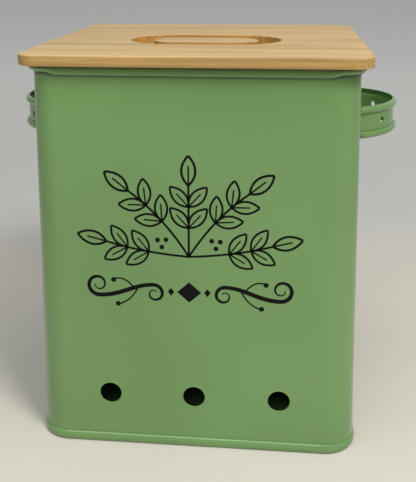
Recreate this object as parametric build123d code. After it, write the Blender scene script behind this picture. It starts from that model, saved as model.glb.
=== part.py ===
from build123d import *
import math
import os

# Lidded storage bin, millimetres. X runs to the viewer's right, Y away from the viewer,
# Z up. The origin is the middle of the footprint, on the table.

# ---- painted steel wall ----
WALL_WIDTH = 245.0          # outside, left to right, at the table
WALL_DEPTH = 235.0          # outside, front to back, at the table
WALL_DRAW_IN = 5.7          # each side leans in by this much over the height
WALL_CORNER = 23.5          # outside corner radius at the table
RIM_HEIGHT = 295.0          # table to the top of the rim
SHEET = 0.8                 # steel sheet
VENT_BORE = 17.0            # three vent holes, low on the front
VENT_PITCH = 64.5
VENT_HEIGHT = 42.3
SEAM_WIDTH = 8.0            # folded seam down the middle of the back
SEAM_PROUD = 0.9

# ---- rim: a flat hem along the sides, a flared collar round the corners ----
HEM_PROUD = 1.25
HEM_HEIGHT = 6.9
FLARE_REACH = 4.0
FLARE_EDGE = 3.2            # height of the flare's outer edge
FLARE_UNDER = 5.8           # how far down the flare meets the wall
FLARE_RUN = 5.0             # length over which hem turns into flare
RIM_ROUND = 1.1

# ---- base, seamed round the foot of the wall ----
BEAD_PROUD = 1.6
BEAD_HEIGHT = 7.8
BEAD_TOP_ROUND = 1.2
BEAD_FOOT_ROUND = 1.0
GROOVE_FLOOR = 1.0
GROOVE_CLEARANCE = 0.3      # each side of the wall sheet
CHUCK_WALL = 1.0
PANEL_LIFT = 5.0            # the panel stands this far off the table
PANEL_STEP = 1.6            # pressed-up middle of the panel
PANEL_STEP_INSET = 24.0      # from the chuck wall
PANEL_STEP_CORNER = 40.0

# ---- handles ----
STRAP_RADIUS = 52.0         # outside of the beads
STRAP_CENTRE_INSET = 14.6   # centre of the strap's curve, inside the wall's face
STRAP_HEIGHT = 25.0
STRAP_BELOW_RIM = 52.0      # rim to the middle of the strap
BEAD_TALL = 5.6             # stiffening bead along each edge
BEAD_DEEP = 2.4
STRAP_BEND = 1.5            # inside radius of the bend into the tab
TAB_END = 66.0              # from the handle's middle to the end of its tab
TAB_ROUND = 5.0
BEAD_WALL_GAP = 0.4
HANG_BORE = 4.6             # two small holes in the web
HANG_ANGLE = 41.0
RIVET_FROM_MIDDLE = 57.5
RIVET_SHANK = 4.0
RIVET_HEAD = 7.0
RIVET_HEAD_RISE = 2.0
RIVET_SET_HEAD = 6.4
RIVET_SET_RISE = 1.2
RIVET_CLEARANCE = 0.2

# ---- bamboo lid ----
LID_WIDTH = 249.0
LID_DEPTH = 240.0
LID_CORNER = 15.0
LID_THICKNESS = 8.0
LID_EASE = 1.0
SLOT_LENGTH = 121.0
SLOT_WIDTH = 68.0
SLOT_Y = -14.0
BAR_LENGTH = 84.5
BAR_WIDTH = 32.0
BAR_Y = -15.0
BAR_BELOW_TOP = 0.3
EDGE_EASE = 0.6
LOCATOR_THICKNESS = 8.0
LOCATOR_CLEARANCE = 1.5     # to the inside of the wall, each side
LOCATOR_LEAD_IN = 1.5

# ---- wood screws, all driven from below ----
SCREW_SHANK = 3.0
SCREW_HEAD = 6.6
SCREW_HEAD_RISE = 2.2
SCREW_HEAD_CLEARANCE = 0.5
SCREW_SINK = 2.6            # depth of the counterbore
SCREW_CLEARANCE = 0.3
SCREW_LENGTH = 11.0
PILOT_EXTRA = 0.6           # pilot hole deeper than the screw's tip
LID_SCREW_X = 96.0
LID_SCREW_Y = 90.0
BAR_SCREW_X = 28.0

# ---- derived ----
LEAN = math.degrees(math.atan2(WALL_DRAW_IN, RIM_HEIGHT))
CORNER_X = WALL_WIDTH / 2 - WALL_CORNER
CORNER_Y = WALL_DEPTH / 2 - WALL_CORNER
RIM_CORNER = WALL_CORNER - WALL_DRAW_IN
STRAP_MIDDLE = RIM_HEIGHT - STRAP_BELOW_RIM
LID_TOP = RIM_HEIGHT + LID_THICKNESS
LOCATOR_BOTTOM = RIM_HEIGHT - LOCATOR_THICKNESS


def rounded_plate(width, depth, corner, bottom, top):
    """An upright plate with rounded corners, from one height to another."""
    outline = Pos(0, 0, bottom) * RectangleRounded(width, depth, corner)
    return extrude(outline, amount=top - bottom)


def wall_block(grow):
    """The leaning block inside the wall's outer face, grown outward by an amount."""
    outline = RectangleRounded(
        WALL_WIDTH + 2 * grow, WALL_DEPTH + 2 * grow, WALL_CORNER + grow
    )
    return extrude(outline, amount=RIM_HEIGHT, taper=LEAN)


def height_band(bottom, top):
    """A wide slab, used to keep what lies between two heights."""
    size = 2 * WALL_WIDTH
    return Pos(0, 0, (bottom + top) / 2) * Box(size, size, top - bottom)


# ---- rim ----

def rim_section(reach, edge, under):
    """Section of the turned-over rim: x is outward from the wall, y is height."""
    inner = -SHEET / 2
    top = RIM_HEIGHT
    cut = RIM_ROUND * (1 - math.sqrt(0.5))
    outline = [
        Line((inner, top), (reach - RIM_ROUND, top)),
        ThreePointArc(
            (reach - RIM_ROUND, top), (reach - cut, top - cut), (reach, top - RIM_ROUND)
        ),
        Line((reach, top - RIM_ROUND), (reach, top - edge)),
        Line((reach, top - edge), (inner, top - under)),
        Line((inner, top - under), (inner, top)),
    ]
    return make_face(outline)


def hem_section():
    """Section along the straight sides."""
    return rim_section(HEM_PROUD, HEM_HEIGHT, HEM_HEIGHT)


def flare_section():
    """Section round the corners."""
    return rim_section(FLARE_REACH, FLARE_EDGE, FLARE_UNDER)


def rim_side(half_run, face):
    """The rim along one side, drawn for the side that faces +X, face at x = face."""
    def across(y):
        return Plane(origin=(face, y, 0), x_dir=(1, 0, 0), z_dir=(0, -1, 0))

    straight = half_run - FLARE_RUN
    hem = extrude(across(straight) * hem_section(), amount=2 * straight)
    side = [hem]
    for sign in (-1, 1):
        ends = [across(sign * straight) * hem_section(), across(sign * half_run) * flare_section()]
        side.append(loft(ends, ruled=True))
    return side


def rim_corner():
    """The flared collar round one corner, its axis at the origin, from +X to +Y."""
    section = Plane.XZ * Pos(RIM_CORNER, 0) * flare_section()
    return revolve(section, Axis.Z, revolution_arc=90)


def rim_pieces():
    """Everything the turned-over rim adds outside the wall sheet."""
    face_x = CORNER_X + RIM_CORNER
    face_y = CORNER_Y + RIM_CORNER
    pieces = []
    for solid in rim_side(CORNER_Y, face_x):
        pieces.append(solid)
        pieces.append(Rot(0, 0, 180) * solid)
    for solid in rim_side(CORNER_X, face_y):
        pieces.append(Rot(0, 0, 90) * solid)
        pieces.append(Rot(0, 0, 270) * solid)
    for turn, sx, sy in ((0, 1, 1), (90, -1, 1), (180, -1, -1), (270, 1, -1)):
        pieces.append(Pos(sx * CORNER_X, sy * CORNER_Y, 0) * Rot(0, 0, turn) * rim_corner())
    return pieces


# ---- wall ----

def on_right_wall(solid):
    """Move a solid drawn with the wall's face at x = 0 onto the right-hand wall."""
    face = WALL_WIDTH / 2 - STRAP_MIDDLE * math.tan(math.radians(LEAN))
    return Pos(face, 0, STRAP_MIDDLE) * Rot(0, -LEAN, 0) * solid


def rivet_bores():
    """Cutters for the rivets of the right-hand handle, through tab and wall."""
    bore = Rot(0, 90, 0) * Cylinder(RIVET_SHANK / 2 + RIVET_CLEARANCE, 8.0)
    return [Pos(0, y, 0) * bore for y in (-RIVET_FROM_MIDDLE, RIVET_FROM_MIDDLE)]


def back_seam():
    """The folded seam that closes the sheet, down the middle of the back."""
    skin = wall_block(SEAM_PROUD) - wall_block(-SHEET / 2)
    bottom = BEAD_HEIGHT + 1.0
    top = RIM_HEIGHT - HEM_HEIGHT - 1.0
    window = Pos(0, WALL_DEPTH / 2, (bottom + top) / 2) * Box(SEAM_WIDTH, 20.0, top - bottom)
    return skin & window


def bin_wall():
    """One sheet wrapped to a rounded square, rim turned over, three vents."""
    wall = wall_block(0) - wall_block(-SHEET)
    wall = wall & height_band(GROOVE_FLOOR, RIM_HEIGHT)
    wall = wall + back_seam()
    for piece in rim_pieces():
        wall = wall + piece
    for x in (-VENT_PITCH, 0.0, VENT_PITCH):
        bore = Rot(90, 0, 0) * Cylinder(VENT_BORE / 2, 20.0)
        wall = wall - Pos(x, -WALL_DEPTH / 2, VENT_HEIGHT) * bore
    for bore in rivet_bores():
        wall = wall - on_right_wall(bore)
        wall = wall - mirror(on_right_wall(bore), about=Plane.YZ)
    return wall


# ---- base ----

def bin_base():
    """Drawn base: seamed bead outside, groove for the wall, raised panel."""
    outer = rounded_plate(
        WALL_WIDTH + 2 * BEAD_PROUD, WALL_DEPTH + 2 * BEAD_PROUD,
        WALL_CORNER + BEAD_PROUD, 0, BEAD_HEIGHT,
    )
    outer = fillet(outer.faces().sort_by(Axis.Z)[-1].edges(), BEAD_TOP_ROUND)
    outer = fillet(outer.faces().sort_by(Axis.Z)[0].edges(), BEAD_FOOT_ROUND)

    def inset_plate(inset, bottom, top):
        return rounded_plate(
            WALL_WIDTH - 2 * inset, WALL_DEPTH - 2 * inset, WALL_CORNER - inset, bottom, top
        )

    groove_in = SHEET + GROOVE_CLEARANCE
    groove = inset_plate(-GROOVE_CLEARANCE, GROOVE_FLOOR, BEAD_HEIGHT + 1)
    groove = groove - inset_plate(groove_in, 0, BEAD_HEIGHT + 2)
    pan = groove_in + CHUCK_WALL
    above = inset_plate(pan, PANEL_LIFT + SHEET, BEAD_HEIGHT + 1)
    below = inset_plate(pan, -1, PANEL_LIFT)
    base = outer - groove - above - below
    # the pressed-up middle of the panel, same sheet thickness throughout
    width = WALL_WIDTH - 2 * (pan + PANEL_STEP_INSET)
    depth = WALL_DEPTH - 2 * (pan + PANEL_STEP_INSET)
    step_top = PANEL_LIFT + PANEL_STEP
    step = rounded_plate(width, depth, PANEL_STEP_CORNER, PANEL_LIFT, step_top + SHEET)
    hollow = rounded_plate(
        width - 2 * SHEET, depth - 2 * SHEET, PANEL_STEP_CORNER - SHEET, PANEL_LIFT - 1, step_top
    )
    return base + step - hollow


# ---- handles, drawn with the strap's centre at the origin and the wall to be at +X ----

def bead_section():
    """Half-round bead along the strap's upper edge: x is radius, y is height."""
    web_out = STRAP_RADIUS - BEAD_DEEP
    web_in = web_out - SHEET
    top = STRAP_HEIGHT / 2
    low = top - BEAD_TALL
    middle = top - BEAD_TALL / 2
    outline = [
        Line((web_in, low), (web_out, low)),
        ThreePointArc((web_out, low), (STRAP_RADIUS, middle), (web_out, top)),
        Line((web_out, top), (web_in, top)),
        Line((web_in, top), (web_in, top - SHEET)),
        ThreePointArc(
            (web_in, top - SHEET), (STRAP_RADIUS - SHEET, middle), (web_in, low + SHEET)
        ),
        Line((web_in, low + SHEET), (web_in, low)),
    ]
    return make_face(outline)


def ring_slice(inner, outer, tall, start, sweep):
    """A slice of an upright ring between two radii, centred on its own height."""
    section = Plane.XZ * Pos((inner + outer) / 2, 0) * Rectangle(outer - inner, tall)
    return Rot(0, 0, start) * revolve(section, Axis.Z, revolution_arc=sweep)


def right_strap():
    """Formed strap with beads, bends and tabs; the wall's face is at x = 0."""
    web_out = STRAP_RADIUS - BEAD_DEEP
    web_in = web_out - SHEET
    web_tall = STRAP_HEIGHT - 2 * BEAD_TALL
    bend_outer = STRAP_BEND + SHEET
    # centre of the reverse bend, tangent to the strap and to the tab on the wall
    bend_x = STRAP_CENTRE_INSET + bend_outer
    bend_y = math.sqrt((web_in + bend_outer) ** 2 - bend_x ** 2)
    turn = math.degrees(math.atan2(bend_y, bend_x))

    strap = ring_slice(web_in, web_out, web_tall, -turn, 2 * turn)
    sweep = 160.0
    bead = revolve(Plane.XZ * bead_section(), Axis.Z, revolution_arc=sweep)
    bead = Rot(0, 0, -sweep / 2) * bead
    wall_side = STRAP_CENTRE_INSET + BEAD_WALL_GAP
    bead = bead - Pos(wall_side - 50, 0, 0) * Box(100, 200, 100)
    strap = strap + bead + mirror(bead, about=Plane.XY)
    bend = Pos(bend_x, bend_y, 0) * ring_slice(STRAP_BEND, bend_outer, web_tall, 180, turn)
    tab_length = TAB_END - bend_y
    tab = Box(SHEET, tab_length, web_tall)
    tab = fillet(tab.edges().filter_by(Axis.X).group_by(Axis.Y)[-1], TAB_ROUND)
    tab = Pos(STRAP_CENTRE_INSET + SHEET / 2, bend_y + tab_length / 2, 0) * tab
    for end in (bend, tab):
        strap = strap + end + mirror(end, about=Plane.XZ)
    for angle in (-HANG_ANGLE, HANG_ANGLE):
        bore = Rot(0, 90, 0) * Cylinder(HANG_BORE / 2, 12.0)
        strap = strap - Rot(0, 0, angle) * Pos(web_in, 0, 0) * bore
    strap = Pos(-STRAP_CENTRE_INSET, 0, 0) * strap
    for bore in rivet_bores():
        strap = strap - bore
    return strap


def right_rivets():
    """Two dome rivets through the tabs and the wall; the wall's face is at x = 0."""
    grip = 2 * SHEET
    radius = (RIVET_HEAD ** 2 / 4 + RIVET_HEAD_RISE ** 2) / (2 * RIVET_HEAD_RISE)
    dome = Pos(0, 0, RIVET_HEAD_RISE - radius) * Sphere(radius)
    dome = dome & Pos(0, 0, 5) * Box(20, 20, 10)
    shank = Pos(0, 0, -grip / 2) * Cylinder(RIVET_SHANK / 2, grip + 0.2)
    rivet = dome + shank
    set_head = Cylinder(RIVET_SET_HEAD / 2, RIVET_SET_RISE)
    set_head = fillet(set_head.edges().sort_by(Axis.Z)[0], 0.5)
    rivet = rivet + Pos(0, 0, -grip - RIVET_SET_RISE / 2) * set_head
    rivet = Pos(SHEET, 0, 0) * Rot(0, 90, 0) * rivet
    return [Pos(0, y, 0) * rivet for y in (-RIVET_FROM_MIDDLE, RIVET_FROM_MIDDLE)]


# ---- lid ----

def stadium(length, width, x, y, bottom, top):
    """An upright block with half-round ends."""
    outline = Pos(x, y, bottom) * SlotOverall(length, width)
    return extrude(outline, amount=top - bottom)


def lid_screw_points():
    """Where the lid board is screwed to the locating board."""
    return [(x, y) for x in (-LID_SCREW_X, 0.0, LID_SCREW_X) for y in (-LID_SCREW_Y, LID_SCREW_Y)]


def bar_screw_points():
    """Where the grip bar is screwed to the locating board."""
    return [(-BAR_SCREW_X, BAR_Y), (BAR_SCREW_X, BAR_Y)]


def screw_seat():
    """Height of the flat floor of every counterbore."""
    return LOCATOR_BOTTOM + SCREW_SINK


def pilot(x, y):
    """Cutter for a pilot hole up into the board above the locating board."""
    tip = screw_seat() + SCREW_LENGTH + PILOT_EXTRA
    tall = tip - RIM_HEIGHT
    hole = Cylinder(SCREW_SHANK / 2 + SCREW_CLEARANCE, 2 * tall)
    return Pos(x, y, RIM_HEIGHT) * hole


def lid_board():
    """The visible board, slotted for the fingers."""
    board = rounded_plate(LID_WIDTH, LID_DEPTH, LID_CORNER, RIM_HEIGHT, LID_TOP)
    board = fillet(board.faces().sort_by(Axis.Z)[-1].edges(), LID_EASE)
    board = fillet(board.faces().sort_by(Axis.Z)[0].edges(), LID_EASE)
    board = board - stadium(SLOT_LENGTH, SLOT_WIDTH, 0, SLOT_Y, RIM_HEIGHT - 1, LID_TOP + 1)
    mouth = board.faces().sort_by(Axis.Z)[-1].inner_wires()[0].edges()
    board = fillet(mouth, EDGE_EASE)
    for x, y in lid_screw_points():
        board = board - pilot(x, y)
    return board


def lid_locating_board():
    """The smaller board that drops into the mouth of the bin."""
    width = WALL_WIDTH - 2 * (WALL_DRAW_IN + SHEET + LOCATOR_CLEARANCE)
    depth = WALL_DEPTH - 2 * (WALL_DRAW_IN + SHEET + LOCATOR_CLEARANCE)
    corner = RIM_CORNER - SHEET - LOCATOR_CLEARANCE
    board = rounded_plate(width, depth, corner, LOCATOR_BOTTOM, RIM_HEIGHT)
    board = chamfer(board.faces().sort_by(Axis.Z)[0].edges(), LOCATOR_LEAD_IN)
    for x, y in lid_screw_points() + bar_screw_points():
        shank = Cylinder(SCREW_SHANK / 2 + SCREW_CLEARANCE, 3 * LOCATOR_THICKNESS)
        board = board - Pos(x, y, RIM_HEIGHT) * shank
        sink = Cylinder(SCREW_HEAD / 2 + SCREW_HEAD_CLEARANCE, 2 * SCREW_SINK)
        board = board - Pos(x, y, LOCATOR_BOTTOM) * sink
    return board


def lid_grip_bar():
    """The bar in the slot, standing on the locating board."""
    bar = stadium(BAR_LENGTH, BAR_WIDTH, 0, BAR_Y, RIM_HEIGHT, LID_TOP - BAR_BELOW_TOP)
    bar = fillet(bar.faces().sort_by(Axis.Z)[-1].edges(), EDGE_EASE)
    for x, y in bar_screw_points():
        bar = bar - pilot(x, y)
    return bar


def wood_screw(x, y):
    """A cross-head wood screw, head down in its counterbore."""
    head = Cylinder(SCREW_HEAD / 2, SCREW_HEAD_RISE)
    head = fillet(head.edges().sort_by(Axis.Z)[0], 1.0)
    head = Pos(0, 0, -SCREW_HEAD_RISE / 2) * head
    for turn in (0, 90):
        cross = Rot(0, 0, turn) * Box(0.9, 3.8, 2 * 1.2)
        head = head - Pos(0, 0, -SCREW_HEAD_RISE) * cross
    point = 2.5
    body = SCREW_LENGTH - point
    shank = Pos(0, 0, body / 2 - 0.1) * Cylinder(SCREW_SHANK / 2, body + 0.2)
    tip = Pos(0, 0, body + point / 2) * Cone(SCREW_SHANK / 2, 0.3, point)
    return Pos(x, y, screw_seat()) * (head + shank + tip)


# ---- write one file for each piece ----

def main():
    """Build every piece and write it out."""
    os.makedirs("parts", exist_ok=True)
    right_handle = on_right_wall(right_strap())
    right_handle_rivets = [on_right_wall(rivet) for rivet in right_rivets()]
    pieces = {
        "bin_wall": [bin_wall()],
        "bin_base": [bin_base()],
        "right_handle": [right_handle],
        "left_handle": [mirror(right_handle, about=Plane.YZ)],
        "right_handle_rivets": right_handle_rivets,
        "left_handle_rivets": [mirror(rivet, about=Plane.YZ) for rivet in right_handle_rivets],
        "lid_board": [lid_board()],
        "lid_locating_board": [lid_locating_board()],
        "lid_grip_bar": [lid_grip_bar()],
        "lid_board_screws": [wood_screw(x, y) for x, y in lid_screw_points()],
        "grip_bar_screws": [wood_screw(x, y) for x, y in bar_screw_points()],
    }
    for name, solids in pieces.items():
        flat = [solid for shape in solids for solid in shape.solids()]
        shape = flat[0] if len(flat) == 1 else Compound(flat)
        export_step(shape, f"parts/{name}.step")
        box = shape.bounding_box()
        size = [round(v, 2) for v in (box.size.X, box.size.Y, box.size.Z)]
        print(name, len(flat), "solid(s)", size, round(shape.volume / 1000, 2), "cm3")


main()
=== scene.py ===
# %% [markdown]
# # A kitchen storage bin: green enamelled steel with a bamboo lid
#
# The bin is a tall box of thin sheet steel, sprayed green inside and out. It stands on a seamed
# base, carries a formed strap handle on each side, and is closed by a flat bamboo board with a
# finger slot. This lesson builds each of those pieces over a packed set of plain solids, which
# say where everything is and what moves: the body called "bin", and the body called "lid",
# which lifts straight off. The imported frame is loaded first. The dressed model has to stay
# inside it.

# %% Load the imported frame
import math
import bpy
import bmesh
from mathutils import Matrix, Vector


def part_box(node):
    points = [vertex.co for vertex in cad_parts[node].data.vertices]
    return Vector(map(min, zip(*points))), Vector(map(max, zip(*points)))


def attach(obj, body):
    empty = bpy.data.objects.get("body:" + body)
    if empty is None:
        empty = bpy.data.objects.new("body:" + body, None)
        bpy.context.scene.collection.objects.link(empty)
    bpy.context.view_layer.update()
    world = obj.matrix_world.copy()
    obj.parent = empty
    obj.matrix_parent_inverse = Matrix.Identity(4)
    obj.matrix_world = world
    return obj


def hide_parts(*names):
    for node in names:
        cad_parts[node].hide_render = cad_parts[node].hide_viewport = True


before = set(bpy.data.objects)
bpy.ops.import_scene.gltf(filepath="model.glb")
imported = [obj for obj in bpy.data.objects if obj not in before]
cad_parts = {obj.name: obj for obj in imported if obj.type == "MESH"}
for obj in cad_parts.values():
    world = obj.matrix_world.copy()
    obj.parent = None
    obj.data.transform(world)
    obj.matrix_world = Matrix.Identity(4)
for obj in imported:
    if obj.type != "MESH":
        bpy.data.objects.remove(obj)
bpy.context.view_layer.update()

# %% [markdown]
# ## Sizes
#
# Everything is in metres, so a millimetre gets a name of its own. The wall is a rounded square
# whose four corner axes stand upright at fixed places, while its faces lean in by nearly 6 mm over
# the height. That makes every upright face easy to describe: a corner axis or a point between two
# of them, and a distance outward from it.

# %% Sizes of the steel box and the boards
MM = 0.001
WALL_CORNER = 23.5 * MM
AXIS_X = 99 * MM
AXIS_Y = 94 * MM
RIM_HEIGHT = 295 * MM
DRAW_IN = 5.7 * MM
SHEET = 0.8 * MM
LEAN = DRAW_IN / RIM_HEIGHT
LID_TOP = 303 * MM
wall_low, wall_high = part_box("bin_wall")
print("wall from the frame:", [round(v * 1000, 1) for v in wall_low], "to",
      [round(v * 1000, 1) for v in wall_high])


# %% [markdown]
# ## The camera
#
# The photograph is taken from a little right of the middle and a little above the lid, about
# half a metre away. The camera's place, its turn and its focal length were worked out from the
# corners of the box, so they are plain numbers here. The frame is 416 by 482 pixels, and the
# sensor's width belongs to its long side.

# %% Place the camera
def camera_axes(yaw, pitch, roll):
    """Right, down and forward directions of a camera turned by three angles."""
    forward = Vector((
        -math.sin(yaw) * math.cos(pitch), math.cos(yaw) * math.cos(pitch), -math.sin(pitch)
    ))
    level = Vector((math.cos(yaw), math.sin(yaw), 0))
    below = forward.cross(level)
    right = math.cos(roll) * level + math.sin(roll) * below
    down = -math.sin(roll) * level + math.cos(roll) * below
    return right, down, forward


def place_camera():
    """The photographer's camera, in metres and pixels of a 416 by 482 frame."""
    right, down, forward = camera_axes(0.102389, 0.253345, 0.003753)
    turn = Matrix((right, -down, -forward)).transposed().to_4x4()
    turn.translation = Vector((64.199, -629.192, 370.800)) * MM
    lens = bpy.data.cameras.new("photo_camera")
    lens.sensor_width = 36
    lens.lens = 762.021 * 36 / 482
    lens.shift_y = (150 - 241) / 482
    lens.clip_start = 0.01
    camera = bpy.data.objects.new("photo_camera", lens)
    bpy.context.scene.collection.objects.link(camera)
    camera.matrix_world = turn
    bpy.context.scene.camera = camera
    return camera


camera = place_camera()
print("lens", round(camera.data.lens, 2), "mm, shift", round(camera.data.shift_y, 4))


# %% [markdown]
# ## Helpers for node trees
#
# Materials and Geometry Nodes are both node trees, and one small function serves for both: it
# makes a node, sets its settings, and links or sets its sockets by name or by number. A second
# pair opens and closes a Geometry Nodes tree with named inputs. The last one settles an object:
# it takes the evaluated mesh, clears the modifiers, joins doubled points, turns the faces
# outward and marks the edges that are meant to be sharp.

# %% Node helpers
def add(tree, kind, sockets=None, **settings):
    """One node: its settings, then its sockets by name or number, linked or given a value."""
    made = tree.nodes.new(kind)
    for name, value in settings.items():
        setattr(made, name, value)
    for key, value in (sockets or {}).items():
        socket = made.inputs[key]
        if isinstance(value, bpy.types.NodeSocket):
            tree.links.new(value, socket)
        else:
            socket.default_value = value
    return made


def open_tree(name, inputs):
    """A Geometry Nodes tree with named inputs, and the sockets that carry them."""
    tree = bpy.data.node_groups.new(name, "GeometryNodeTree")
    face = tree.interface
    face.new_socket("Geometry", in_out="INPUT", socket_type="NodeSocketGeometry")
    for label, kind in inputs.items():
        face.new_socket(label, in_out="INPUT", socket_type="NodeSocket" + kind)
    face.new_socket("Geometry", in_out="OUTPUT", socket_type="NodeSocketGeometry")
    return tree, tree.nodes.new("NodeGroupInput").outputs


def close_tree(tree, geometry, material):
    """Realize the instances, set the material and end the tree."""
    real = add(tree, "GeometryNodeRealizeInstances", {"Geometry": geometry}).outputs[0]
    coated = add(tree, "GeometryNodeSetMaterial", {"Geometry": real, "Material": material})
    end = tree.nodes.new("NodeGroupOutput")
    tree.links.new(coated.outputs[0], end.inputs[0])
    return tree


def attribute(tree, name, kind="FLOAT"):
    """The value of a named attribute."""
    return add(tree, "GeometryNodeInputNamedAttribute", {"Name": name}, data_type=kind).outputs[0]


def math_node(tree, operation, *values):
    """A Math node on one, two or three values."""
    made = add(tree, "ShaderNodeMath", dict(enumerate(values)), operation=operation)
    return made.outputs[0]


def use_tree(thing, tree, values):
    """Put a tree on an object and set its inputs by their identifiers."""
    modifier = thing.modifiers.new(tree.name, "NODES")
    modifier.node_group = tree
    for item in tree.interface.items_tree:
        if item.in_out == "INPUT" and item.name in values:
            modifier[item.identifier] = values[item.name]
    return thing


# %% Object helpers
def link(name, mesh):
    """A new object for a mesh, in the scene."""
    thing = bpy.data.objects.new(name, mesh)
    bpy.context.scene.collection.objects.link(thing)
    return thing


def tidy(thing, sharp=35, merge=0.002 * MM):
    """Join doubled points, turn faces outward, shade smoothly between the sharp edges."""
    shape = bmesh.new()
    shape.from_mesh(thing.data)
    bmesh.ops.remove_doubles(shape, verts=shape.verts, dist=merge)
    bmesh.ops.dissolve_degenerate(shape, edges=shape.edges, dist=merge / 2)
    bmesh.ops.recalc_face_normals(shape, faces=shape.faces)
    loose = [edge for edge in shape.edges if len(edge.link_faces) != 2]
    shape.to_mesh(thing.data)
    shape.free()
    thing.data.shade_smooth()
    thing.data.set_sharp_from_angle(angle=math.radians(sharp))
    print(thing.name, len(thing.data.polygons), "faces,", len(loose), "open edges")
    return thing


def settle(thing, **settings):
    """Make what the modifiers give into the object's own plain mesh."""
    graph = bpy.context.evaluated_depsgraph_get()
    mesh = bpy.data.meshes.new_from_object(thing.evaluated_get(graph), depsgraph=graph)
    thing.modifiers.clear()
    thing.data = mesh
    return tidy(thing, **settings)


def forget(*things):
    """Remove helper objects that were only read by a tree."""
    for thing in things:
        bpy.data.objects.remove(thing)


def attributed(name, points, closed=True, **fields):
    """A line of points as a mesh, with named attributes on its points."""
    mesh = bpy.data.meshes.new(name)
    edges = [(k, k + 1) for k in range(len(points) - 1)]
    if closed:
        edges.append((len(points) - 1, 0))
    mesh.from_pydata([Vector(p) for p in points], edges, [])
    for label, values in fields.items():
        vector = hasattr(values[0], "__len__")
        made = mesh.attributes.new(label, "FLOAT_VECTOR" if vector else "FLOAT", "POINT")
        flat = [part for value in values for part in value] if vector else list(values)
        made.data.foreach_set("vector" if vector else "value", flat)
    return link(name, mesh)


# %% [markdown]
# ## Green enamel
#
# The steel is sprayed with a mid green enamel and baked: an even colour with a satin gloss. A
# flat colour would look like plastic. Real sprayed enamel varies a little in tone over a hand's
# breadth, is rippled like the skin of an orange at about a millimetre and a half, and its gloss
# is not quite even. Noise at three scales on the object's own coordinates gives that. The thin
# clear layer on top is the shader's coat, which is what makes the highlights on the beads crisp.
# Where a section marks a crease, the colour is painted darker: painted shade under the hem, under the
# lid and in the hollows of the beads.

# %% Enamel
def new_material(name):
    """A node material, its tree, its shader and the object's own coordinates."""
    material = bpy.data.materials.new(name)
    material.use_nodes = True
    tree = material.node_tree
    shader = tree.nodes["Principled BSDF"]
    place = add(tree, "ShaderNodeTexCoord").outputs["Object"]
    return material, tree, shader, place


def noise(tree, place, scale, detail=2.0, stretch=None):
    """Noise from 0 to 1, with its coordinates stretched if need be."""
    if stretch:
        place = add(tree, "ShaderNodeMapping", {"Vector": place, "Scale": stretch}).outputs[0]
    sockets = {"Vector": place, "Scale": scale, "Detail": detail}
    return add(tree, "ShaderNodeTexNoise", sockets).outputs["Fac"]


def blend(tree, share, first, second, kind="RGBA", mode="MIX"):
    """Mix of two colours, linked or given."""
    made = tree.nodes.new("ShaderNodeMix")
    made.data_type = kind
    made.blend_type = mode
    for socket, value in ((made.inputs[0], share), (made.inputs[6], first), (made.inputs[7], second)):
        if isinstance(value, bpy.types.NodeSocket):
            tree.links.new(value, socket)
        else:
            socket.default_value = value
    return made.outputs[2]


def steps(tree, value, stops, interpolation="LINEAR"):
    """A colour ramp through grey or coloured stops."""
    ramp = add(tree, "ShaderNodeValToRGB", {"Fac": value})
    ramp.color_ramp.interpolation = interpolation
    elements = ramp.color_ramp.elements
    while len(elements) < len(stops):
        elements.new(0.5)
    for element, (position, colour) in zip(elements, stops):
        element.position = position
        element.color = colour if hasattr(colour, "__len__") else (colour, colour, colour, 1)
    return ramp.outputs["Color"]


def ranged(tree, value, low, high, from_low=0.0, from_high=1.0):
    """A value moved from one range to another."""
    sockets = {0: value, 1: from_low, 2: from_high, 3: low, 4: high}
    return add(tree, "ShaderNodeMapRange", sockets).outputs[0]


def bumped(tree, shader, height, strength, distance):
    """Bump from a height, into the shader's normal."""
    sockets = {"Height": height, "Strength": strength, "Distance": distance}
    made = add(tree, "ShaderNodeBump", sockets)
    tree.links.new(made.outputs[0], shader.inputs["Normal"])
    return made


def enamel(name, colour):
    """Sprayed and baked enamel on sheet steel, with painted shade along the marked creases."""
    material, tree, shader, place = new_material(name)
    darker = tuple(0.90 * c for c in colour) + (1,)
    lighter = tuple(min(1, 1.07 * c) for c in colour) + (1,)
    broad = ranged(tree, noise(tree, place, 7.0, 1.0), 0.0, 1.0, 0.3, 0.7)
    body = blend(tree, broad, darker, lighter)
    speck = ranged(tree, noise(tree, place, 900.0, 1.0), 0.0, 0.12, 0.55, 0.75)
    body = blend(tree, speck, body, darker)
    # painted shade: near black where the section rows mark shade, under the hem and the lid, in the
    # bead's hollows and between the strap's beads and web; it is rougher there too
    crease = add(tree, "ShaderNodeAttribute", attribute_name="crease").outputs["Fac"]
    crease_shade_colour = (0.035 * colour[0], 0.05 * colour[1], 0.03 * colour[2], 1)
    crease = math_node(tree, "MULTIPLY", crease, 0.92)
    tree.links.new(blend(tree, crease, body, crease_shade_colour), shader.inputs["Base Color"])
    gloss = ranged(tree, noise(tree, place, 55.0, 2.0), 0.14, 0.19, 0.3, 0.7)
    gloss = math_node(tree, "ADD", gloss, math_node(tree, "MULTIPLY", crease, 0.4))
    tree.links.new(gloss, shader.inputs["Roughness"])
    peel = noise(tree, place, 620.0, 1.0)
    bumped(tree, shader, peel, 0.08, 0.00004)
    shader.inputs["Specular IOR Level"].default_value = 0.36
    shader.inputs["Coat Weight"].default_value = 0.30
    shader.inputs["Coat Roughness"].default_value = 0.04
    return material


green = enamel("green_enamel", (0.160, 0.300, 0.102))
print("enamel:", green.name)

# %% [markdown]
# ## Bamboo
#
# Bamboo board is glued from staves a few centimetres wide, all running left to right. Each
# stave has its own tone, fine fibres along it, and now and then a darker knuckle across it,
# where the cane had a joint. Cut ends show the same fibres as dots. One solid pattern on the
# object's coordinates does all of that at once: noise stretched very long in X gives lines on
# the top and front, and dots on the ends, just as in the real wood. The seams lie where they
# show on the lid, and the same list sets the tone of the staves between them.

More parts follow.
